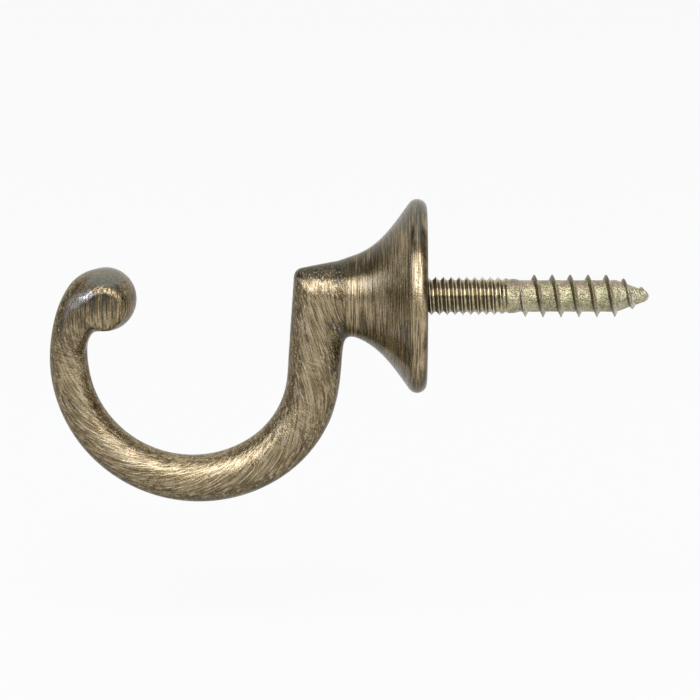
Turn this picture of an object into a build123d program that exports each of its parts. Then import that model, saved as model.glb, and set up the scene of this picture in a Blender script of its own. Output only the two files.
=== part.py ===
from build123d import *
from math import atan2, ceil, cos, degrees, radians, sin, sqrt, tan
import os

# A cast wall hook on a hanger screw. The origin is the middle of the base's flat rear face,
# X runs along the screw into the wall, Z is up, and the hook is bent in the XZ plane.

# trumpet-shaped base
base_diameter = 19.7
base_depth = 9.2          # from the rear face to where the neck meets the elbow
neck_diameter = 7.89      # where the rounding of its end starts
shoulder_radius = 1.4     # rounding of the neck's end, round the elbow
lip_radius = 1.0          # rounding of the rim
neck_slope = 12.8         # degrees that the profile rises at the neck
rim_slope = 54.0          # degrees that it rises at the rim
neck_pull = 3.2           # how far the profile keeps each slope
rim_pull = 2.85

# arm and loop, a round bar
arm_diameter = 5.55
tip_diameter = 3.7
arm_inset = 1.67          # from the neck's end to the arm's middle line, at the screw's height
arm_lean = 4.0            # degrees that the arm leans back from upright
arm_drop = 8.3            # from the screw's axis down to where the loop starts
front_radius = 11.3       # loop's middle line under the arm
front_turn = 53.0         # degrees of it
loop_radius = 12.85       # loop's middle line on the room side
loop_turn = 150.0         # after it the bar curls in until it is flush with the roll
curl_breadth = 7.4        # across the bar's sides where it ends in the roll
curl_bite = 0.1           # how far its outer side is below the roll's surface there

# elbow, a mitred corner of the same bar
elbow_slope = 11.0        # degrees that its top rises towards the neck
elbow_step = 0.37         # how far its top is below the neck's, where they meet
elbow_breadth = 7.4       # across the corner's sides, where it meets the neck
elbow_radius = 0.9        # rounding of the outer corner
inner_radius = 0.3        # rounding of the inner corner

# how finely the bar's sections follow it
arm_steps = 2
front_steps = 5
loop_steps = 10
curl_steps = 6
corner_steps = 4

# crosswise roll at the tip
roll_diameter = 6.3
roll_length = 8.4
roll_edge = 1.4           # rounding round each end
roll_end_flat = 2.2       # diameter of each flat end
roll_inset = 23.4         # from the neck's end out to the roll's axis
roll_drop = 0.33          # and how far that is below the screw's axis

# hanger screw
thread_diameter = 3.95    # machine thread, over its crests
thread_root = 3.25        # and at its root
thread_pitch = 0.794
flank_slope = 30.0        # degrees that its flanks lean from square to the axis
thread_crest = 0.1        # breadth of its flat crests
thread_reach = 7.2        # how far the machine thread stands out of the base
thread_fade = 0.6         # length over which it dies out there
screw_inside = 7.0        # how much of it is in the base
screw_reach = 22.5        # from the wall to the point
end_chamfer = 0.4
bore_clearance = 0.05     # all round the thread
bore_spare = 1.0          # depth of bore left beyond the screw
bore_chamfer = 0.4
drill_angle = 118.0
waist_diameter = 3.6      # plain stretch between the two threads
root_diameter = 3.2       # wood thread
crest_diameter = 4.4
wood_pitch = 1.82
wood_start = 9.1          # from the wall to where the wood thread starts
wood_fade = 1.1           # length over which it rises to its full height
ridge_crest = 0.14        # breadth of the wood thread at its crest
ridge_foot = 1.7          # and at its foot, which is deep enough to stand on the narrowed point
foot_radius = 0.5
root_taper = 3.25         # length of the pointed end
crest_taper = 3.6         # length over which the crests close in on the point
point_diameter = 0.9
trim_room = 0.3           # a body that trims a thread clears it by this


def at(x, z):
    return Vector(x, 0, z)


def along(degrees_up):
    """Unit direction in the XZ plane, at an angle above X."""
    return at(cos(radians(degrees_up)), sin(radians(degrees_up)))


def direction_up(vector):
    """Angle of a vector in the XZ plane above X, in degrees."""
    return degrees(atan2(vector.Z, vector.X))


def oval(centre, outward, half_width, half_breadth):
    """Face of a bar's cross-section: half_width lies along outward, half_breadth along Y."""
    plane = Plane(origin=centre, x_dir=outward, z_dir=outward.cross(Vector(0, 1, 0)))
    return plane * Ellipse(half_width, half_breadth).face()


def roll_centre():
    return at(-(base_depth + roll_inset), -roll_drop)


def curl_into_roll(end, outward):
    """Radius and turn of the arc that goes on from end and brings the bar flush with the roll."""
    from_roll = end - roll_centre()
    sunk = (roll_diameter - tip_diameter) / 2 - curl_bite
    radius = (from_roll.dot(from_roll) - sunk**2) / (2 * (from_roll.dot(outward) - sunk))
    flush = outward * radius - from_roll
    return radius, direction_up(outward) - direction_up(flush)


def bar_stations():
    """Stations along the bar: centre, outward direction, length so far and share of the curl."""
    down = along(-90 - arm_lean)
    top = at(-(base_depth + arm_inset), 0)
    reach = 1 / cos(radians(arm_lean))
    under_neck = (neck_diameter / 2 + inner_radius) * reach
    straight = arm_drop * reach - under_neck
    stations = []
    for step in range(arm_steps + 1):
        length = under_neck + straight * step / arm_steps
        stations.append((top + down * length, along(-arm_lean), length, 0))

    def bend(radius, turn, steps, curl=0):
        start, outward, before, _ = stations[-1]
        angle = direction_up(outward)
        middle = start - outward * radius
        for step in range(1, steps + 1):
            turned_by = turn * step / steps
            away = along(angle - turned_by)
            length = before + radians(turned_by) * radius
            stations.append((middle + away * radius, away, length, curl * step / steps))

    bend(front_radius, front_turn, front_steps)
    bend(loop_radius, loop_turn, loop_steps)
    bend(*curl_into_roll(*stations[-1][:2]), curl_steps, curl=1)
    return stations


def bar_half(share):
    """Half of the bar's thickness, a share of the way along it: it thins mostly in the loop."""
    return (tip_diameter + (arm_diameter - tip_diameter) * (1 - share**2) ** 2) / 2


def make_bar(stations):
    """The round bar, from under the elbow to inside the roll."""
    total = stations[-1][2]
    faces = []
    for centre, outward, length, curl in stations:
        half = bar_half(length / total)
        faces.append(oval(centre, outward, half, half + (curl_breadth / 2 - half) * curl))
    return loft(faces)


def make_elbow(stations):
    """The mitred corner: ovals that fan out from the inner corner, then run into the neck."""
    neck_half = neck_diameter / 2
    under_neck, outward, length, _ = stations[0]
    half = bar_half(length / stations[-1][2])
    up = along(90 - arm_lean)
    hinge = under_neck + outward * (half + inner_radius)

    # the outer corner's circle touches the arm's back and the sloping top
    slope, square = along(elbow_slope), along(90 + elbow_slope)
    back = under_neck - outward * (half - elbow_radius)
    top = at(-base_depth, neck_half - elbow_step) - square * elbow_radius
    corner = back + up * ((top - back).cross(slope).Y / up.cross(slope).Y)

    faces = [oval(under_neck, outward, half, half)]
    first = direction_up(corner - outward * elbow_radius - hinge)
    last = direction_up(corner + square * elbow_radius - hinge)
    for step in range(corner_steps + 1):
        away = along(first + (last - first) * step / corner_steps)
        reach = (corner - hinge).dot(away)
        reach += sqrt(elbow_radius**2 - (corner - hinge).length ** 2 + reach**2)
        middle = hinge + away * (reach + inner_radius) / 2
        faces.append(oval(middle, -away, (reach - inner_radius) / 2, half))
    root = neck_half - elbow_step + (hinge.X + base_depth) * tan(radians(elbow_slope))
    faces.append(oval(at(hinge.X, 0), at(0, -1), root, elbow_breadth / 2))
    return loft(faces, ruled=True)


def turned(*points):
    """A body turned about X from (x, radius) points, closed along the axis."""
    axis_ends = [(points[-1][0], 0)] if points[0][1] == 0 else [(points[-1][0], 0), (points[0][0], 0)]
    return revolve(Plane.XZ * make_face(Polyline(*points, *axis_ends, close=True)), Axis.X)


def make_base():
    """The trumpet, turned about X: shoulder, neck, flare, rim and flat rear face."""
    slope, rise = radians(neck_slope), radians(rim_slope)
    lip_height = base_diameter / 2 - lip_radius
    neck = (shoulder_radius * (1 - sin(slope)) - base_depth, neck_diameter / 2)
    rim = (-lip_radius - lip_radius * sin(rise), lip_height + lip_radius * cos(rise))
    neck_grip = (neck[0] + neck_pull * cos(slope), neck[1] + neck_pull * sin(slope))
    rim_grip = (rim[0] - rim_pull * cos(rise), rim[1] - rim_pull * sin(rise))
    shoulder = (-base_depth, neck[1] - shoulder_radius * cos(slope))
    profile = [
        Line((0, 0), (-base_depth, 0)),
        Line((-base_depth, 0), shoulder),
        TangentArc(shoulder, neck, tangent=(0, 1)),
        Bezier(neck, neck_grip, rim_grip, rim),
        TangentArc(rim, (0, lip_height), tangent=(cos(rise), sin(rise))),
        Line((0, lip_height), (0, 0)),
    ]
    return revolve(Plane.XZ * make_face(profile), Axis.X)


def make_roll():
    """The barrel that ends the hook, turned about its own axis along Y: crowned, with rounded ends."""
    half, flat = roll_length / 2, roll_end_flat / 2
    span = half - roll_edge
    rise = roll_diameter / 2 - flat - roll_edge
    crown = (span**2 + rise**2) / (2 * rise) + roll_edge
    turn = atan2(span, crown - roll_edge - rise)
    edge = (roll_diameter / 2 - crown + crown * cos(turn), crown * sin(turn))
    profile = [
        Line((0, -half), (flat, -half)),
        TangentArc((flat, -half), (edge[0], -edge[1]), tangent=(1, 0)),
        TangentArc((edge[0], -edge[1]), edge, tangent=(sin(turn), cos(turn))),
        TangentArc(edge, (flat, half), tangent=(-sin(turn), cos(turn))),
        Line((flat, half), (0, half)),
        Line((0, half), (0, -half)),
    ]
    return Pos(roll_centre()) * revolve(make_face(profile), Axis.Y)


def make_bore():
    """The blind tapped hole, as a plain hole of the thread's size with a countersunk mouth."""
    half = thread_diameter / 2 + bore_clearance
    depth = screw_inside + bore_spare
    point = half / tan(radians(drill_angle / 2))
    return turned((-depth - point, 0), (-depth, half), (-bore_chamfer, half), (0, half + bore_chamfer))


def make_hook():
    stations = bar_stations()
    hook = make_base() + make_elbow(stations) + make_bar(stations) + make_roll()
    return hook - make_bore()


def thread_turns(pitch, crest, foot, start, end, envelope):
    """A right-hand thread round X, turn by turn. Crest and foot are each a radius and a breadth."""
    outline = [
        (foot[0], -foot[1] / 2),
        (crest[0], -crest[1] / 2),
        (crest[0], crest[1] / 2),
        (foot[0], foot[1] / 2),
    ]
    path = Helix(pitch, pitch, crest[0])
    one_turn = sweep(Plane.XZ * make_face(Polyline(*outline, close=True)), path=path, is_frenet=True)
    turns = []
    for index in range(ceil((end - start) / pitch)):
        origin = (start + index * pitch, 0, 0)
        turns.append(Plane(origin=origin, x_dir=(0, 0, 1), z_dir=(1, 0, 0)) * one_turn & envelope)
    return turns


def machine_thread():
    """The fine thread, from inside the base to where it dies out on the waist."""
    crest, root = thread_diameter / 2, thread_root / 2
    foot = root - thread_crest
    foot_breadth = thread_crest + 2 * (crest - foot) * tan(radians(flank_slope))
    envelope = turned(
        (-screw_inside, root),
        (crest - root - screw_inside, crest),
        (thread_reach, crest),
        (thread_reach + thread_fade, waist_diameter / 2 - thread_crest),
    )
    lead_in = -(screw_inside + thread_pitch)
    return thread_turns(
        thread_pitch, (crest, thread_crest), (foot, foot_breadth), lead_in, thread_reach, envelope
    )


def wood_thread():
    """The coarse thread, which rises at its start and closes in on the point."""
    crest, root = crest_diameter / 2, root_diameter / 2
    clear = crest + trim_room
    envelope = turned(
        (wood_start, root - end_chamfer),
        (wood_start + wood_fade, clear),
        (screw_reach - crest_taper, clear),
        (screw_reach, point_diameter / 2),
    )
    return thread_turns(
        wood_pitch, (crest, ridge_crest), (foot_radius, ridge_foot), wood_start, screw_reach, envelope
    )


def make_screw():
    """The hanger screw: machine thread, waist, wood thread and blunt point."""
    thread, waist, root = thread_root / 2, waist_diameter / 2, root_diameter / 2
    point = point_diameter / 2
    screw = turned(
        (-screw_inside, thread),
        (thread_reach, thread),
        (thread_reach + waist - thread, waist),
        (wood_start, waist),
        (wood_start + waist - root, root),
        (screw_reach - root_taper, root),
        (screw_reach - point / 2, point),
        (screw_reach, point / 2),
    )
    for turn in machine_thread() + wood_thread():
        screw += turn
    return screw


os.makedirs("parts", exist_ok=True)
for name, piece in (("hook", make_hook()), ("hanger_screw", make_screw())):
    print(name, round(piece.volume, 2), piece.is_valid, len(piece.solids()), piece.bounding_box().size)
    export_step(piece, f"parts/{name}.step")
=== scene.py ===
from math import cos, pi, radians, sin
import bmesh
import bpy
import numpy as np
from mathutils import Matrix, Vector
from mathutils.kdtree import KDTree


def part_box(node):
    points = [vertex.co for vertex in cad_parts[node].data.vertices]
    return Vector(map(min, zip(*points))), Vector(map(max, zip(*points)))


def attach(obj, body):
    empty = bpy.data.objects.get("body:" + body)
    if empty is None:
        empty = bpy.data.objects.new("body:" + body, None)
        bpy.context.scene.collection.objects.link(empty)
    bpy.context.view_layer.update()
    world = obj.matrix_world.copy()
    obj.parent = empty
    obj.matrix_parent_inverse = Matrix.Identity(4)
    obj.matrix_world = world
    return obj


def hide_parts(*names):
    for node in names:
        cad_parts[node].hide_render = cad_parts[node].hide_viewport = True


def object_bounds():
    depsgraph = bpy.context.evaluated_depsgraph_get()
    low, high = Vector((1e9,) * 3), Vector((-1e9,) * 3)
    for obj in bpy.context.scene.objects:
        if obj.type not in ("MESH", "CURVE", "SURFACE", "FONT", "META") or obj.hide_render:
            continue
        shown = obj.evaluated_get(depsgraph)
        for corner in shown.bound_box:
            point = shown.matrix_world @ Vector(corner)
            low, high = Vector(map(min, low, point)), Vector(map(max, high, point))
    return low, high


mm = 0.001
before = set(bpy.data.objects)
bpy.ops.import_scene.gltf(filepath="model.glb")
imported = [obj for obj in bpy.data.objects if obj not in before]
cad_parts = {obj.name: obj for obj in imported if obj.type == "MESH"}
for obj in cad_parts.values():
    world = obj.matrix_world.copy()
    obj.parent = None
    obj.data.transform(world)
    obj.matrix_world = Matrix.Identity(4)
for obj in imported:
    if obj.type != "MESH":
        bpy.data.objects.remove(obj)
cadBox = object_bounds()
screwLow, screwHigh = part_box("hanger_screw")
print("frame loaded:", sorted(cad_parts))


class Value:
    # a node's output; arithmetic on it adds Math nodes
    def __init__(self, graph, socket):
        self.graph = graph
        self.socket = socket

    def math(self, operation, *others, flip=False):
        terms = [*others, self] if flip else [self, *others]
        return self.graph.node("ShaderNodeMath", {"operation": operation}, dict(enumerate(terms)))

    def __neg__(self):
        return self * -1

    def held(self, low=0.0, high=1.0):
        return self.math("MAXIMUM", low).math("MINIMUM", high)

    def smooth(self, low, high):
        # 0 below low, 1 above high, eased between them
        sockets = {"Value": self, 1: low, 2: high}
        return self.graph.node("ShaderNodeMapRange", {"interpolation_type": "SMOOTHSTEP"}, sockets)


def addOperator(name, operation):
    setattr(Value, f"__{name}__", lambda self, other: self.math(operation, other))
    setattr(Value, f"__r{name}__", lambda self, other: self.math(operation, other, flip=True))


for pythonName, blenderName in (("add", "ADD"), ("sub", "SUBTRACT"), ("mul", "MULTIPLY"),
                                ("truediv", "DIVIDE"), ("pow", "POWER")):
    addOperator(pythonName, blenderName)


class Graph:
    # adds nodes to a tree; each socket takes a Value or a constant
    def __init__(self, tree):
        self.tree = tree

    def node(self, kind, settings=None, sockets=None, out=0):
        made = self.tree.nodes.new(kind)
        for name, value in (settings or {}).items():
            setattr(made, name, value)
        for key, value in (sockets or {}).items():
            if isinstance(value, Value):
                self.tree.links.new(value.socket, made.inputs[key])
            else:
                made.inputs[key].default_value = value
        return Value(self, made.outputs[out]) if len(made.outputs) else None

    def vector(self, operation, *terms):
        return self.node("ShaderNodeVectorMath", {"operation": operation}, dict(enumerate(terms)))

    def part(self, vector, axis):
        return self.node("ShaderNodeSeparateXYZ", None, {0: vector}, out="XYZ".index(axis))

    def joined(self, x, y, z):
        return self.node("ShaderNodeCombineXYZ", None, {0: x, 1: y, 2: z})

    def share(self, name):
        # a number that is stored with each point of the mesh
        return self.node("ShaderNodeAttribute", {"attribute_name": name}, out=2)

    def tint(self, below, above, factor):
        # colours: factor 0 gives below, 1 gives above
        sides = [tone if isinstance(tone, Value) else (*tone, 1.0) for tone in (below, above)]
        sockets = {0: factor, 6: sides[0], 7: sides[1]}
        return self.node("ShaderNodeMix", {"data_type": "RGBA"}, sockets, out=2)

    def noise(self, place, size, detail=2.0, rough=0.5):
        sockets = {"Vector": place, "Scale": 1.0 / size, "Detail": detail, "Roughness": rough}
        return self.node("ShaderNodeTexNoise", None, sockets)

    def bump(self, height, distance):
        sockets = {"Strength": 1.0, "Distance": distance, "Height": height}
        return self.node("ShaderNodeBump", None, sockets)


def emptyGraph(owner):
    # for a material or a world
    owner.use_nodes = True
    owner.node_tree.nodes.clear()
    return Graph(owner.node_tree)


def newObject(name, data):
    made = bpy.data.objects.new(name, data)
    bpy.context.scene.collection.objects.link(made)
    return made


def plainMesh(obj, name):
    # the evaluated object as a plain mesh in a new object, with no modifier left
    graph = bpy.context.evaluated_depsgraph_get()
    mesh = bpy.data.meshes.new_from_object(obj.evaluated_get(graph))
    mesh.name = name
    made = newObject(name, mesh)
    bpy.data.objects.remove(obj)
    return made


def vertexArray(mesh, what="co"):
    values = np.empty(len(mesh.vertices) * 3, np.float32)
    mesh.vertices.foreach_get(what, values)
    return values.reshape(-1, 3).astype(float)


def storeShare(mesh, name, share):
    made = mesh.attributes.new(name, "FLOAT", "POINT")
    made.data.foreach_set("value", np.clip(share, 0, 1).astype(np.float32))


def beyond(values, start, fade):
    # 0 up to the start, 1 from a fade further on
    return np.clip((values - start) / fade, 0, 1)


def within(values, end, fade):
    # 1 up to a fade short of the end, 0 from the end on
    return np.clip((end - values) / fade, 0, 1)


brassHook = dict(
    voxel=0.17 * mm,              # grain of the mesh that joins bar, base and roll
    evenSteps=8,                  # passes that take the grain out
    lastEvenSteps=4,              # and again at the end
    fillSteps=120,                # passes that fill the inner corners, as in a casting
    fillLimit=0.0025,             # of the voxel: flatter hollows stay
    rollFillSteps=240,            # more passes where the bar runs into the roll
    rollFillWithin=(6 * mm, 2 * mm),      # end and fade, from the roll's axis
    neckSteps=50,                 # passes that blend the elbow into the neck
    neckEnd=-8.7 * mm,
    neckWithin=(1.12 * mm, 0.7 * mm),     # end and fade, from the neck's end
    boreRadius=2.6 * mm,          # nothing inside this is smoothed
    boreEnd=-9.24 * mm,
    creaseDepth=0.12 * mm,        # filling that leaves a corner fully dark
    creaseSteps=12,               # passes that spread the dark
    armInset=10.87 * mm,          # middle line of the bar, from the wall and the screw's axis
    armLean=4.0,
    armDrop=8.3 * mm,
    armLead=4 * mm,               # that line starts this far above the axis
    lineStep=0.15 * mm,
    bends=((11.3 * mm, 53.0), (12.85 * mm, 150.0), (2.4 * mm, 78.0)),   # radius and degrees
    rollCentre=(-32.6 * mm, -0.33 * mm),
    # the roll's faces: radius and distance from the middle plane of three rings, in mm
    faceRings=((1.3, 4.18), (1.8, 4.06), (2.2, 3.80)),
    faceShift=(-0.1, -0.35),      # their centre, from the roll's axis
    ringPoints=36,
    # the ramp up to each face: x and z from the roll's axis, and distance from the middle plane
    rampBrow=((-2.35, 0.25, 3.72), (-3.25, -0.75, 3.25), (-2.75, 0.95, 3.22), (-3.65, -0.1, 2.75)),
    rampFoot=((-2.3, -5.6, 1.2), (-3.7, -5.9, 1.8), (-4.7, -5.3, 1.75)),
    rampSpan=(95, 218),           # degrees round the face that the ramp joins
)


def barLine(look):
    # points along the bar's middle line: place, direction along, direction outward, length so far
    def towards(degreesUp):
        return Vector((cos(radians(degreesUp)), 0, sin(radians(degreesUp))))

    lean, lead = look["armLean"], look["armLead"]
    place = Vector((-look["armInset"], 0, 0)) + towards(90 - lean) * lead
    angle, length, line = -lean, -lead, []
    for radius, size in [(None, look["armDrop"] / cos(radians(lean)) + lead), *look["bends"]]:
        total = size if radius is None else radians(size) * radius
        count = max(2, round(total / look["lineStep"]))
        for _ in range(count):
            line.append((place.copy(), towards(angle - 90), towards(angle), length))
            length += total / count
            if radius is None:
                place += towards(angle - 90) * (total / count)
            else:
                middle = place - towards(angle) * radius
                angle -= size / count
                place = middle + towards(angle) * radius
    return line


def fromRoll(places, look):
    # x and z of each point from the roll's axis
    return places[:, [0, 2]] - look["rollCentre"]


def neighbourMean(values, edges, counts):
    total = np.zeros_like(values)
    for axis in range(values.shape[1]):
        total[:, axis] = (np.bincount(edges[:, 0], values[edges[:, 1], axis], len(values))
                          + np.bincount(edges[:, 1], values[edges[:, 0], axis], len(values)))
    return total / counts[:, None]


def relax(mesh, look):
    # takes out the grain, fills the hollow corners, blends elbow and neck, leaves the bore alone
    edges = np.empty(len(mesh.edges) * 2, np.int32)
    mesh.edges.foreach_get("vertices", edges)
    edges = edges.reshape(-1, 2)
    places = vertexArray(mesh)
    counts = np.bincount(edges.ravel(), minlength=len(places)).astype(float)
    fromAxis = np.hypot(places[:, 1], places[:, 2])
    inBore = (fromAxis < look["boreRadius"]) & (places[:, 0] > look["boreEnd"])
    free = np.where(inBore, 0.0, 1.0)[:, None]
    nearRoll = within(np.hypot(*fromRoll(places, look).T), *look["rollFillWithin"])[:, None]
    nearNeck = within(abs(places[:, 0] - look["neckEnd"]), *look["neckWithin"])[:, None] * free
    pull, push = 0.5, 0.52        # of the way to the mean; the push back keeps the size
    normalsEvery = 10             # passes
    limit = look["fillLimit"] * look["voxel"]

    def toMean():
        return neighbourMean(places, edges, counts) - places

    def writePlaces():
        mesh.vertices.foreach_set("co", places.astype(np.float32).ravel())
        mesh.update()

    def even(steps):
        for _ in range(steps):
            places[:] += free * pull * toMean()
            places[:] -= free * push * toMean()

    def fill(steps, share):
        for step in range(steps):
            if step % normalsEvery == 0:
                writePlaces()
                normals = vertexArray(mesh, "normal")
            hollow = np.maximum((toMean() * normals).sum(1) - limit, 0.0)
            places[:] += share * pull * normals * hollow[:, None]

    even(look["evenSteps"])
    before = places.copy()
    fill(look["fillSteps"], free)
    fill(look["rollFillSteps"], nearRoll)
    for _ in range(look["neckSteps"]):
        places[:] += nearNeck * pull * toMean()
    even(look["lastEvenSteps"])
    writePlaces()
    filled = np.linalg.norm(places - before, axis=1)[:, None]
    for _ in range(look["creaseSteps"]):
        filled = neighbourMean(filled, edges, counts)
    storeShare(mesh, "crease", filled[:, 0] / look["creaseDepth"])


def unbend(mesh, look):
    # stores where each point is on the straightened bar: along it, across it and outward
    line = barLine(look)
    tree = KDTree(len(line))
    for index, (place, *_) in enumerate(line):
        tree.insert(place, index)
    tree.balance()
    unbent = []
    for x, y, z in vertexArray(mesh):
        point = Vector((x, 0, z))
        place, along, outward, length = line[tree.find(point)[1]]
        offset = point - place
        unbent.append((length + offset.dot(along), y, offset.dot(outward)))
    store = mesh.attributes.new("brushSpace", "FLOAT_VECTOR", "POINT")
    store.data.foreach_set("vector", np.array(unbent, np.float32).ravel())


def addRamps(shell, look):
    # the roll's faces, and the ramps on the bar's front and back: two hulls through the hook
    def rings(start, end):
        shiftX, shiftZ = look["faceShift"]
        return [(shiftX + radius * cos(radians(turn)), shiftZ + radius * sin(radians(turn)), half)
                for radius, half in look["faceRings"]
                for turn in np.linspace(start, end, look["ringPoints"])]

    def addHull(places):
        centreX, centreZ = look["rollCentre"]
        corners = [shell.verts.new((centreX + x * mm, side * half * mm, centreZ + z * mm))
                   for x, z, half in places for side in (-1, 1)]
        bmesh.ops.convex_hull(shell, input=corners)

    addHull(rings(0, 350))
    addHull([*rings(*look["rampSpan"]), *look["rampBrow"], *look["rampFoot"]])


brassWearAndPaintedLight = dict(
    # pairs: where a share starts or ends, and its fade
    baseFrom=(-9.0 * mm, 1.2 * mm),       # brushing goes round the base from here on
    rollWithin=(3.7 * mm, 0.8 * mm),      # and upright within this of the roll's axis
    sideways=0.88,                # brushed most on the front and back,
    upward=0.47,                  # and painted lighter facing up, darker facing down, as light falls
    gain=1.2,
    loss=0.1,
    rollRightFrom=(1.0, 1.0),     # in mm from its axis: the roll is painted lighter to its right,
    rollTopFrom=(-1.75, 2.5),     # and painted darker at its top
    rollLightAndShade=0.4,
    elbowFrom=(-15.5 * mm, 2 * mm),       # what looks up stays dull from here to the wall,
    rimFrom=(-3 * mm, 1 * mm),            # and what looks at the wall from here
    rimShare=0.6,
    topFrom=(0.42, 0.22),         # how far up, at the wall or sideways it has to look
    wallFrom=(0.5, 0.4),
    faceFrom=(0.75, 0.25),
    faceShade=0.55,                # the roll's faces get painted shade, up to their left:
    upperLeft=(0.75, 0.4, 0.3),   # at their middle, per mm up and per mm left
    topReflectionFrom=(0.68, 0.14),       # painted grey reflection on the tops of roll and rim
    # a painted highlight along the edge between bar and roll:
    highlightEdge=((-3.25, -0.15), (-1.45, 1.45)),   # its ends, from the roll's axis in mm
    highlightReach=1.2,              # times its width
    highlightWidth=0.42,
    highlightFrom=2.4 * mm,          # from the middle plane
)


def markWearAndPaintedLight(mesh, look, shape):
    # stores how far each point is on base and roll, its wear with painted shade by facing, its
    # patina and painted shade, a painted top reflection and a painted highlight edge
    places, normals = vertexArray(mesh), vertexArray(mesh, "normal")
    x, half = places[:, 0], abs(places[:, 1])
    toWall, sideways, upward = normals[:, 0], abs(normals[:, 1]), normals[:, 2]
    spots = fromRoll(places, shape)
    onRoll = within(np.hypot(*spots.T), *look["rollWithin"])
    onRim = beyond(x, *look["rimFrom"]) * look["rimShare"]
    spots = spots / mm
    right, above = spots.T
    storeShare(mesh, "onBase", beyond(x, *look["baseFrom"]))
    storeShare(mesh, "onRoll", onRoll)

    # wear on the front and back, with painted shade: darker where it faces down, lighter facing up
    wornAndShaded = (sideways * look["sideways"] + upward * look["upward"]) * look["gain"] - look["loss"]
    # painted light and shade on the roll: lighter to its right, darker at its top
    wornAndShaded += onRoll * look["rollLightAndShade"] * (beyond(right, *look["rollRightFrom"])
                                           - beyond(above, *look["rollTopFrom"]))
    storeShare(mesh, "wornAndShaded", wornAndShaded)

    onTop = beyond(upward, *look["topFrom"]) * beyond(x, *look["elbowFrom"])
    onWallSide = beyond(toWall, *look["wallFrom"]) * onRim
    middle, perUp, perLeft = look["upperLeft"]
    upperLeft = np.clip(middle + above * perUp - right * perLeft, 0, 1)
    # painted shade on the roll's faces, darkest towards their upper left
    onFace = onRoll * beyond(sideways, *look["faceFrom"]) * upperLeft * look["faceShade"]
    storeShare(mesh, "patinaAndShade", np.maximum(onTop, np.maximum(onWallSide, onFace)))
    storeShare(mesh, "paintedTopReflection", beyond(upward, *look["topReflectionFrom"]) * np.maximum(onRoll, onRim))

    # painted highlight: a pale streak on the slanting edge where the bar's face turns into the
    # roll's
    start, end = np.array(look["highlightEdge"])
    along = np.clip((spots - start) @ (end - start) / ((end - start) ** 2).sum(), 0, 1)
    away = np.linalg.norm(spots - start - along[:, None] * (end - start), axis=1)
    rubbed = look["highlightReach"] - away / look["highlightWidth"]
    storeShare(mesh, "highlightEdge", rubbed * (half > look["highlightFrom"]))


def makeHook(look, wearAndPaintedLight):
    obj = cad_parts["hook"].copy()
    obj.data = obj.data.copy()
    obj.parent = None
    for key in list(obj.keys()):
        del obj[key]
    bpy.context.scene.collection.objects.link(obj)
    shell = bmesh.new()
    shell.from_mesh(obj.data)
    bmesh.ops.remove_doubles(shell, verts=shell.verts, dist=0.001 * mm)
    addRamps(shell, look)
    shell.to_mesh(obj.data)
    shell.free()
    remesh = obj.modifiers.new("join", "REMESH")
    remesh.mode = "VOXEL"
    remesh.voxel_size = look["voxel"]
    remesh.use_smooth_shade = True
    made = plainMesh(obj, "brass_hook")
    relax(made.data, look)
    for polygon in made.data.polygons:
        polygon.use_smooth = True
    unbend(made.data, look)
    markWearAndPaintedLight(made.data, wearAndPaintedLight, look)
    print("brass hook:", len(made.data.polygons), "faces")
    return made


brassTonesAndPaintedLight = dict(
    rubbed=(0.46, 0.366, 0.226),     # where the antiquing is brushed back
    golden=(0.257, 0.191, 0.093),
    scratched=(0.62, 0.56, 0.44),
    paintedHighlight=(0.74, 0.70, 0.66),     # painted highlight on the edge between bar and roll
    paintedTopReflection=(0.215, 0.220, 0.195),     # painted grey reflection on the tops of roll and rim
    brown=(0.128, 0.090, 0.043),
    patina=(0.052, 0.048, 0.034),
    edgeTint=(0.62, 0.58, 0.50),     # what is left of the shine at a glancing angle
    brownAt=(0.0, 0.42),             # wear and painted shade at which each tone comes in
    goldenAt=(0.26, 0.85),
    rubbedAt=(0.75, 1.35),
    exposure=0.62,                   # what the wear and painted shade is made of: open sides, with painted shade by facing,
    baseExposure=0.20,               # more of that on the base,
    clouds=0.22,
    least=0.15,
    creaseLoss=0.4,
    patinaAndShadeLoss=0.65,
    contrast=1.15,                   # of the brushing,
    baseContrast=0.15,               # more of that on the base,
    speckles=0.30,
    # brushed lines on the bar: degrees from its length, and their width and length in mm
    slanting=(19, 0.18, 6.0),
    steeper=(27, 0.10, 2.6),
    crosswise=(76, 0.13, 2.2),
    crossShare=0.45,
    lineAt=(0.36, 0.64),             # narrower makes harder lines
    lightScratch=(24, 0.13, 4.0),
    lightAt=(0.63, 0.71),            # higher makes fewer
    lightShare=0.75,
    darkScratch=(15, 0.16, 3.5),
    darkAt=(0.68, 0.76),
    darkShare=0.6,
    ringWidth=0.17 * mm,             # lines round the base
    uprightWidth=0.20 * mm,          # lines on the roll
    patchSize=4.0 * mm,
    cloudSize=1.3 * mm,
    speckleSize=0.17 * mm,
    pitSize=0.35 * mm,
    pitsAt=(0.72, 0.78),
    pitShare=0.8,
    roughness=0.25,
    grainDepth=0.030 * mm,
    lacquer=0.42,
    lacquerRoughness=0.10,
)


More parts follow.
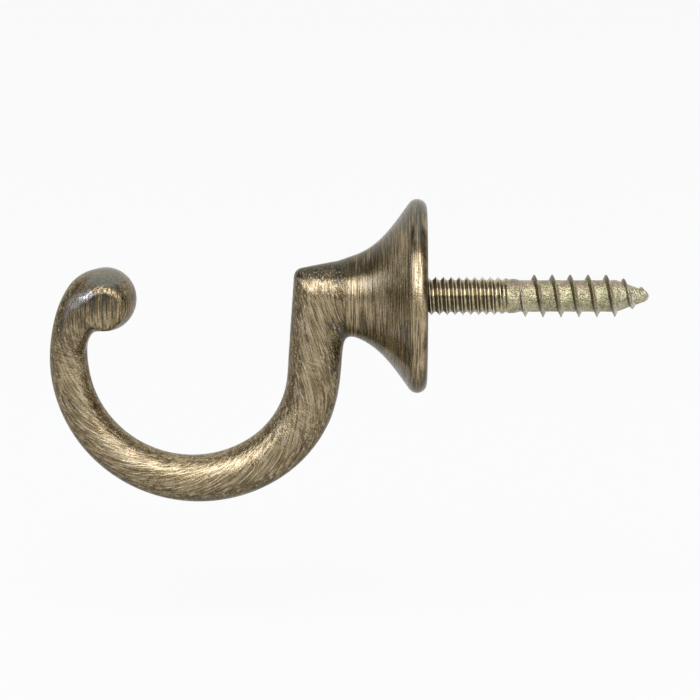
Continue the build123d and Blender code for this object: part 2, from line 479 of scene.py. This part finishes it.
def antiqueBrass(look):
    material = bpy.data.materials.new("antiqueBrass")
    g = emptyGraph(material)
    place = g.node("ShaderNodeTexCoord", out=3)      # Object coordinates
    unbent = g.node("ShaderNodeAttribute", {"attribute_name": "brushSpace"}, out=1)
    onBase, onRoll, facingWearAndShade, crease, patinaAndShade = [
        g.share(name) for name in ("onBase", "onRoll", "wornAndShaded", "crease", "patinaAndShade")]

    def strokes(space, turn, across, along, detail=2.0):
        turned = g.node("ShaderNodeVectorRotate", {"rotation_type": "Y_AXIS"},
                        {"Vector": space, "Angle": radians(turn)})
        stretched = g.vector("MULTIPLY", turned, (across / along, 0.6, 1.0))
        return g.noise(stretched, across * mm, detail, 0.55)

    # brushing: slanting lines on the bar, rings on the base, upright lines on the roll
    slanting, steeper, crosswise = [strokes(unbent, *look[name]).smooth(*look["lineAt"])
                                    for name in ("slanting", "steeper", "crosswise")]
    x, y, z = (g.part(place, axis) for axis in "XYZ")
    ringSpace = g.joined(x + (y * y + z * z) ** 0.5, y * 0.05, z * 0.05)
    rings = g.noise(ringSpace, look["ringWidth"], 3.0, 0.6).smooth(0.32, 0.68)
    uprightSpace = g.vector("MULTIPLY", place, (1.0, 1.0, 0.07))
    upright = g.noise(uprightSpace, look["uprightWidth"], 2.0, 0.6).smooth(0.3, 0.7)

    patches = g.noise(place, look["patchSize"]).smooth(0.35, 0.65)
    cloudy = g.noise(place, look["cloudSize"], 3.0, 0.6).smooth(0.3, 0.7)
    speckle = g.noise(place, look["speckleSize"], 2.0, 0.6).smooth(0.3, 0.7)
    pits = g.noise(place, look["pitSize"], 1.0).smooth(*look["pitsAt"])
    crossShare = patches.smooth(0.6, 0.95) * look["crossShare"]
    bar = (slanting * 0.6 + steeper * 0.4) * (1 - crossShare) + crosswise * crossShare
    brush = bar * (1 - onRoll) + upright * onRoll
    brush = brush * (1 - onBase) + rings * onBase
    grain = brush * 0.7 + speckle * 0.3

    # single deep scratches
    light = strokes(unbent, *look["lightScratch"], detail=1.0).smooth(*look["lightAt"])
    light = light * (1 - onRoll) * (1 - onBase)
    elsewhere = g.vector("ADD", unbent, (0.05, 0.02, 0.03))
    dark = strokes(elsewhere, *look["darkScratch"], detail=1.0).smooth(*look["darkAt"])

    # wear and painted shade from the facing share, random clouds, and patina in the creases
    wornAndShaded = (facingWearAndShade * (look["exposure"] + onBase * look["baseExposure"]) + cloudy * look["clouds"]
            + look["least"] - crease * look["creaseLoss"])
    wornAndShaded = (wornAndShaded + (brush - 0.5) * (look["contrast"] + onBase * look["baseContrast"])
            + (speckle - 0.5) * look["speckles"])
    # patina on the tops near the wall, and painted shade on the roll's faces
    wornAndShaded = wornAndShaded - patinaAndShade * look["patinaAndShadeLoss"]
    tone = g.tint(look["patina"], look["brown"], wornAndShaded.smooth(*look["brownAt"]))
    tone = g.tint(tone, look["golden"], wornAndShaded.smooth(*look["goldenAt"]))
    tone = g.tint(tone, look["rubbed"], (wornAndShaded + patches * 0.1).smooth(*look["rubbedAt"]))
    # painted reflection of a grey light from above, on the tops of roll and rim
    tone = g.tint(tone, look["paintedTopReflection"], g.share("paintedTopReflection") * (0.5 + brush * 0.4))
    tone = g.tint(tone, look["scratched"], light * look["lightShare"])
    # painted highlight where the bar's face turns into the roll's
    tone = g.tint(tone, look["paintedHighlight"], g.share("highlightEdge") * (0.35 + brush * 0.65))
    tone = g.tint(tone, look["patina"], dark * look["darkShare"])
    tone = g.tint(tone, look["patina"], pits * look["pitShare"])

    rough = look["roughness"] + (0.5 - brush) * 0.16 + (cloudy - 0.5) * 0.08 + pits * 0.2
    fine = (grain - light * 0.6 - dark * 0.8 - pits) * (1 - patinaAndShade * 0.7)
    shader = g.node("ShaderNodeBsdfPrincipled", None, {
        "Base Color": tone, "Metallic": 1.0, "Roughness": rough.held(0.12, 0.7),
        "Normal": g.bump(fine, look["grainDepth"]), "Coat Weight": look["lacquer"],
        "Coat Roughness": look["lacquerRoughness"], "Coat IOR": 1.5,
        "Specular Tint": (*look["edgeTint"], 1.0)})
    g.node("ShaderNodeOutputMaterial", None, {"Surface": shader})
    return material


hangerScrew = dict(
    rings=700,
    aroundCount=72,
    threadRadius=1.975 * mm,      # machine thread, over its crests
    threadDepth=0.36 * mm,
    threadPitch=0.794 * mm,
    rootRound=1.8,                # above 1 broadens the roots and sharpens the crests
    threadStart=0.702 * mm,       # where its crest passes the side at +Y
    softFrom=6.79 * mm,           # its last turns are soft from here
    softHeight=0.55,
    threadEnd=7.0 * mm,           # full depth up to here
    threadFade=2.28 * mm,
    waistRadius=1.80 * mm,
    coreRadius=1.60 * mm,         # wood thread
    coreFrom=8.6 * mm,
    coreFull=9.5 * mm,
    crestHeight=0.60 * mm,
    woodPitch=1.82 * mm,
    woodStart=10.48 * mm,
    woodFrom=9.0 * mm,
    woodFade=1.2 * mm,
    crestWidth=0.34,              # of the pitch
    crestRound=1.25,
    coreTaper=3.3 * mm,
    crestTaper=3.8 * mm,
    crestTaperRound=0.55,
    pointRadius=0.42 * mm,
    chamfer=0.4 * mm,
    flakes=0.055 * mm,
    flakeSize=0.55 * mm,
    ridgeSmooth=0.8,              # share of the flakes that the ridges lose
    threadFlakes=0.12,            # share of them on the machine thread
)


def screwTree(sizes, material):
    tree = bpy.data.node_groups.new("hangerScrew", "GeometryNodeTree")
    tree.is_modifier = True
    for direction in ("INPUT", "OUTPUT"):
        tree.interface.new_socket("Geometry", in_out=direction, socket_type="NodeSocketGeometry")
    for name, size in sizes.items():
        kind = "NodeSocketInt" if isinstance(size, int) else "NodeSocketFloat"
        tree.interface.new_socket(name, in_out="INPUT", socket_type=kind)
    g = Graph(tree)
    given = {socket.name: Value(g, socket) for socket in tree.nodes.new("NodeGroupInput").outputs}

    grid = g.node("GeometryNodeMeshGrid", None, {
        "Size X": 1.0, "Size Y": 1.0,
        "Vertices X": given["rings"], "Vertices Y": given["aroundCount"]})
    spot = g.node("GeometryNodeInputPosition")
    alongShare = g.part(spot, "X") + 0.5
    turn = 0.5 - g.part(spot, "Y")
    x = alongShare * (given["inside"] + given["reach"]) - given["inside"]
    angle = turn * (2 * pi)
    cosine, sine = angle.math("COSINE"), angle.math("SINE")

    # machine thread: sharp crests and round roots, dying out towards the waist
    wave = ((x - given["threadStart"]) / given["threadPitch"] - turn + 0.5).math("FRACT")
    wave = (wave - 0.5).math("ABSOLUTE") * -2 + 1.0
    fadeFrom = given["threadEnd"] + given["threadPitch"]
    soft = x.smooth(given["softFrom"], fadeFrom)
    sharp, rounded = wave ** given["rootRound"], wave.smooth(0.0, 1.0)
    wave = sharp * (1 - soft) + rounded * soft * given["softHeight"]
    left = 1 - x.smooth(fadeFrom, given["threadEnd"] + given["threadFade"])
    thread = given["threadRadius"] - given["threadDepth"] + given["threadDepth"] * wave * left
    machine = thread * left + given["waistRadius"] * (1 - left)

    # wood thread: narrow ridges on a core that narrows to the point
    toPoint = ((given["reach"] - x) / given["coreTaper"]).held()
    core = given["pointRadius"] + (given["coreRadius"] - given["pointRadius"]) * toPoint
    cycle = ((x - given["woodStart"]) / given["woodPitch"] - turn + 0.5).math("FRACT")
    away = (cycle - 0.5).math("ABSOLUTE") / (given["crestWidth"] * 0.5)
    ridge = (1 - away).held() ** given["crestRound"]
    rise = x.smooth(given["woodFrom"], given["woodFrom"] + given["woodFade"])
    crestLeft = ((given["reach"] - x) / given["crestTaper"]).held() ** given["crestTaperRound"]
    wood = core + given["crestHeight"] * ridge * rise * crestLeft
    onWood = x.smooth(given["coreFrom"], given["coreFull"])
    radius = machine * (1 - onWood) + wood * onWood

    # rolled flakes on the core, a rounded point, and a chamfer at the other end
    around = g.joined(x, cosine * given["coreRadius"], sine * given["coreRadius"])
    rough = g.noise(around, given["flakeSize"], 3.0, 0.6) - 0.5
    flaked = onWood * (1 - ridge * given["ridgeSmooth"]) + given["threadFlakes"]
    radius = radius + rough * 2 * given["flakes"] * flaked
    toTip = ((x - given["reach"] + given["pointRadius"]) / given["pointRadius"]).held()
    radius = radius * (1 - toTip ** 2) ** 0.5
    chamfered = x + given["inside"] + given["threadRadius"] - given["chamfer"]
    radius = radius.math("MINIMUM", chamfered)

    # both ends close on the axis
    endShare = 0.4 / sizes["rings"]
    afterStart = alongShare.math("GREATER_THAN", endShare)
    atEnd = alongShare.math("GREATER_THAN", 1 - endShare)
    radius = radius * (afterStart * (1 - atEnd))
    moved = g.joined(x, cosine * radius, sine * radius)
    made = g.node("GeometryNodeSetPosition", None, {"Geometry": grid, "Position": moved})
    made = g.node("GeometryNodeMergeByDistance", None, {"Geometry": made, "Distance": 0.0005 * mm})
    made = g.node("GeometryNodeSetShadeSmooth", None, {"Geometry": made, "Shade Smooth": True})
    made = g.node("GeometryNodeRealizeInstances", None, {"Geometry": made})
    made = g.node("GeometryNodeSetMaterial", None, {"Geometry": made, "Material": material})
    g.node("NodeGroupOutput", None, {0: made})
    return tree


def makeScrew(look, material):
    sizes = dict(look, inside=-screwLow.x, reach=screwHigh.x)
    tree = screwTree(sizes, material)
    obj = newObject("hanger_screw_base", bpy.data.meshes.new("hanger_screw_base"))
    modifier = obj.modifiers.new("thread", "NODES")
    modifier.node_group = tree
    for item in tree.interface.items_tree:
        if item.in_out == "INPUT" and item.name in sizes:
            modifier[item.identifier] = sizes[item.name]
    made = plainMesh(obj, "threaded_screw")
    # 1 where a face looks towards the point, 0 where it looks towards the hook
    storeShare(made.data, "towardsPoint", vertexArray(made.data, "normal")[:, 0] / 2 + 0.5)
    print("screw:", len(made.data.polygons), "faces")
    return made


zincTonesAndPaintedLight = dict(
    olive=(0.262, 0.236, 0.136),
    gold=(0.54, 0.485, 0.300),
    rosy=(0.40, 0.275, 0.215),
    green=(0.285, 0.325, 0.170),
    bareAndGlint=(0.76, 0.73, 0.62),         # pale crests, and painted glints on the front flanks of the wood thread
    tan=(0.38, 0.305, 0.170),
    # painted light on the fine thread's flank towards the hook
    copperLitFlank=(0.46, 0.33, 0.19),
    brown=(0.145, 0.112, 0.058),
    # painted shade on the fine thread's flank towards the point
    flankShade=(0.050, 0.044, 0.024),
    rootRadius=1.62 * mm,
    crestRadius=1.95 * mm,
    tanRadius=1.68 * mm,             # wood thread is tan from here,
    ridgeRadius=1.95 * mm,           # and dull beyond this
    ridgeFade=0.25 * mm,
    rosyFrom=0.55 * mm,              # above the axis
    rosyFull=1.35 * mm,
    woodFrom=7.4 * mm,               # its finish comes in from here
    woodFull=8.9 * mm,
    rosyShare=0.75,                  # how strongly each tone shows
    greenShare=0.35,
    stainShare=0.8,
    litFlankShare=0.9,
    flankShadeShare=0.85,
    crestShare=0.6,
    tanShare=0.7,
    rearShadeShare=0.85,
    glintShare=0.8,
    lipShadeShare=0.6,
    broadSize=1.6 * mm,
    castSize=1.1 * mm,
    flakeSize=0.40 * mm,
    fineSize=0.20 * mm,
    roughness=0.20,
    woodRoughness=0.25,
    flakeDepth=0.20 * mm,
)


def yellowZinc(look):
    material = bpy.data.materials.new("yellowZinc")
    g = emptyGraph(material)
    place = g.node("ShaderNodeTexCoord", out=3)      # Object coordinates
    facing = g.share("towardsPoint") * 2 - 1         # 1 towards the point, -1 towards the hook
    x, y, z = (g.part(place, axis) for axis in "XYZ")
    radial = (y * y + z * z) ** 0.5
    onWood = x.smooth(look["woodFrom"], look["woodFull"])
    onFine = 1 - onWood

    broad = g.noise(place, look["broadSize"])
    cast = g.noise(g.vector("ADD", place, (0.03, 0.01, 0.02)), look["castSize"])
    flakes = g.noise(place, look["flakeSize"], 3.0, 0.7)
    fine = g.noise(place, look["fineSize"], 2.0, 0.6)
    onUpperSide = z.smooth(look["rosyFrom"], look["rosyFull"])
    tone = g.tint(look["olive"], look["gold"], (broad * 0.4 + flakes * 0.6).smooth(0.40, 0.60))
    tone = g.tint(tone, look["rosy"], onUpperSide * cast.smooth(0.42, 0.60) * look["rosyShare"])
    tone = g.tint(tone, look["green"], (1 - cast).smooth(0.50, 0.64) * look["greenShare"])
    stain = (flakes * 0.55 + fine * 0.45).smooth(0.55, 0.64)
    tone = g.tint(tone, look["brown"], stain * onWood * look["stainShare"])

    # fine thread: painted light and shade on its flanks, copper towards the hook and dark towards
    # the point; pale crest
    crest = radial.smooth(look["rootRadius"], look["crestRadius"]).smooth(0.6, 0.95)
    rear, dark = (-facing).smooth(0.10, 0.50), facing.smooth(0.35, 0.75)
    tone = g.tint(tone, look["copperLitFlank"], rear * onFine * look["litFlankShare"])
    tone = g.tint(tone, look["flankShade"], dark * onFine * look["flankShadeShare"])
    tone = g.tint(tone, look["bareAndGlint"], crest * onFine * look["crestShare"])

    # wood thread: tan ridge, painted shade on the flank towards the hook, painted glints at the
    # foot of the one towards the point
    ridge = radial.smooth(look["tanRadius"], look["ridgeRadius"])
    rear = (-facing).smooth(0.45, 0.80)
    front = facing.smooth(0.20, 0.60) * onWood
    low = 1 - radial.smooth(look["ridgeRadius"], look["ridgeRadius"] + look["ridgeFade"])
    tone = g.tint(tone, look["tan"], ridge * onWood * look["tanShare"])
    # painted shade on the flank towards the hook
    tone = g.tint(tone, look["brown"], rear * onWood * look["rearShadeShare"])
    # painted glints at the foot of the flank towards the point
    tone = g.tint(tone, look["bareAndGlint"], front * low * fine.smooth(0.38, 0.52) * look["glintShare"])
    # painted shade near the crest of that flank
    tone = g.tint(tone, look["brown"], front * (1 - low) * look["lipShadeShare"])

    height = (flakes * 0.6 + fine * 0.4) * (onWood * 0.9 + 0.1)
    rough = look["roughness"] + (look["woodRoughness"] - look["roughness"]) * onWood
    rough = rough + (fine - 0.5) * 0.2 + front * low * 0.2
    shader = g.node("ShaderNodeBsdfPrincipled", None, {
        "Base Color": tone, "Metallic": 1.0, "Roughness": rough.held(0.1, 0.6),
        "Normal": g.bump(height, look["flakeDepth"])})
    g.node("ShaderNodeOutputMaterial", None, {"Surface": shader})
    return material


hook = makeHook(brassHook, brassWearAndPaintedLight)
hook.data.materials.clear()
hook.data.materials.append(antiqueBrass(brassTonesAndPaintedLight))
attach(hook, "root")
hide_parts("hook")

screw = makeScrew(hangerScrew, yellowZinc(zincTonesAndPaintedLight))
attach(screw, "root")
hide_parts("hanger_screw")

studio = dict(
    floorGap=14 * mm,             # below the hook
    floorSize=1.6,
    floorTone=0.62,
    floorWhite=0.88,
    mirrored=0.3,                 # share of that white which metal shows
    front=0.45,                   # brightness of the room, as metal shows it
    side=0.22,
    back=1.1,
    ceiling=0.95,
    # where side, back, ceiling and backdrop come in, on a scale from 0 to 1 straight that way
    sideAt=(0.5, 0.8),
    backAt=(0.3, 0.8),
    ceilingAt=(0.80, 0.97),
    backdropAt=(0.25, 0.60),
    backdropDip=1.3,              # how fast the backdrop ends upwards
    boxDistance=0.9,
    # degrees round (0 in front, 90 on the wall's side) and up, width, height, radiance and tint
    softboxes=dict(
        frontBox=(-4, 42, 1.50, 0.80, 3.0, (0.98, 1.0, 1.09)),
        leftBox=(-72, 28, 0.42, 0.42, 1.8, (0.84, 0.95, 1.18)),
        rightBox=(50, 12, 0.40, 0.50, 1.4, (1, 1, 1)),
    ),
)


def seenWhite(graph, mirrored):
    # 1 for rays from the camera, and a share for rays that metal or glass sends on
    camera, glossy, through = [graph.node("ShaderNodeLightPath", out=index) for index in (0, 3, 6)]
    return (camera + (glossy + through) * mirrored).held()


def makeFloor(look):
    half = look["floorSize"] / 2
    level = cadBox[0].z - look["floorGap"]
    corners = [(-half, -half, level), (half, -half, level),
               (half, half, level), (-half, half, level)]
    mesh = bpy.data.meshes.new("floor")
    mesh.from_pydata(corners, [], [(0, 1, 2, 3)])
    material = bpy.data.materials.new("paleFloor")
    g = emptyGraph(material)
    diffuse = g.node("ShaderNodeBsdfDiffuse", None, {"Color": (*[look["floorTone"]] * 3, 1)})
    glow = g.node("ShaderNodeEmission", None, {"Color": (1, 1, 1, 1), "Strength": 1.0})
    share = seenWhite(g, look["mirrored"]) * look["floorWhite"]
    both = g.node("ShaderNodeMixShader", None, {0: share, 1: diffuse, 2: glow})
    g.node("ShaderNodeOutputMaterial", None, {"Surface": both})
    mesh.materials.append(material)
    floor = newObject("floor", mesh)


def makeWorld(look):
    # a dim room with a paler ceiling, and the white backdrop behind the hook
    world = bpy.data.worlds.new("studio")
    bpy.context.scene.world = world
    g = emptyGraph(world)
    way = g.node("ShaderNodeTexCoord", out=0)
    up, back, side = g.part(way, "Z"), g.part(way, "Y"), g.part(way, "X").math("ABSOLUTE")
    room = look["front"] + (look["side"] - look["front"]) * side.smooth(*look["sideAt"])
    room = room + (look["back"] - room) * back.smooth(*look["backAt"])
    room = room + (look["ceiling"] - room) * up.smooth(*look["ceilingAt"])
    backdrop = (back - up * look["backdropDip"]).smooth(*look["backdropAt"])
    strength = room + (1 - room) * backdrop * seenWhite(g, 1.0)
    camera = g.node("ShaderNodeLightPath", out=0)
    strength = strength + (1 - strength) * camera
    shade = g.node("ShaderNodeBackground", None, {"Color": (1, 1, 1, 1), "Strength": strength})
    g.node("ShaderNodeOutputWorld", None, {"Surface": shade})


def addSoftbox(name, distance, azimuth, elevation, width, height, radiance, tint):
    # radiance 1 reflects as plain white
    data = bpy.data.lights.new(name, "AREA")
    data.shape = "RECTANGLE"
    data.size, data.size_y = width, height
    data.energy = radiance * width * height * pi
    data.color = tint
    a, e = radians(azimuth), radians(elevation)
    back = Vector((sin(a) * cos(e), -cos(a) * cos(e), sin(e)))
    lamp = newObject(name, data)
    lamp.location = (cadBox[0] + cadBox[1]) / 2 + back * distance
    lamp.rotation_euler = back.to_track_quat("Z", "Y").to_euler()
    lamp.visible_camera = False


makeFloor(studio)
makeWorld(studio)
for boxName, box in studio["softboxes"].items():
    addSoftbox(boxName, studio["boxDistance"], *box)
print("studio: floor, backdrop and", len(studio["softboxes"]), "softboxes")

cameraLook = dict(
    elevation=13.0,
    distance=0.5,
    frameWidth=71 * mm,           # what the view takes in at the hook
    aside=0.12 * mm,              # aim, from the middle of the part
    above=0.18 * mm,
)


def makeCamera(look):
    data = bpy.data.cameras.new("camera")
    data.sensor_width = 36
    data.lens = data.sensor_width * look["distance"] / look["frameWidth"]
    data.clip_start, data.clip_end = 0.01, 20
    camera = newObject("camera", data)
    e = radians(look["elevation"])
    up = Vector((0, sin(e), cos(e)))
    back = Vector((0, -cos(e), sin(e)))
    middle = (cadBox[0] + cadBox[1]) / 2
    aim = Vector((middle.x + look["aside"], 0, 0)) + up * (middle.z * cos(e) + look["above"])
    turn = Matrix((Vector((1, 0, 0)), up, back)).transposed().to_4x4()
    camera.matrix_world = Matrix.Translation(aim + back * look["distance"]) @ turn
    bpy.context.scene.camera = camera


makeCamera(cameraLook)
bpy.context.scene.view_settings.view_transform = "Standard"
print("camera set")
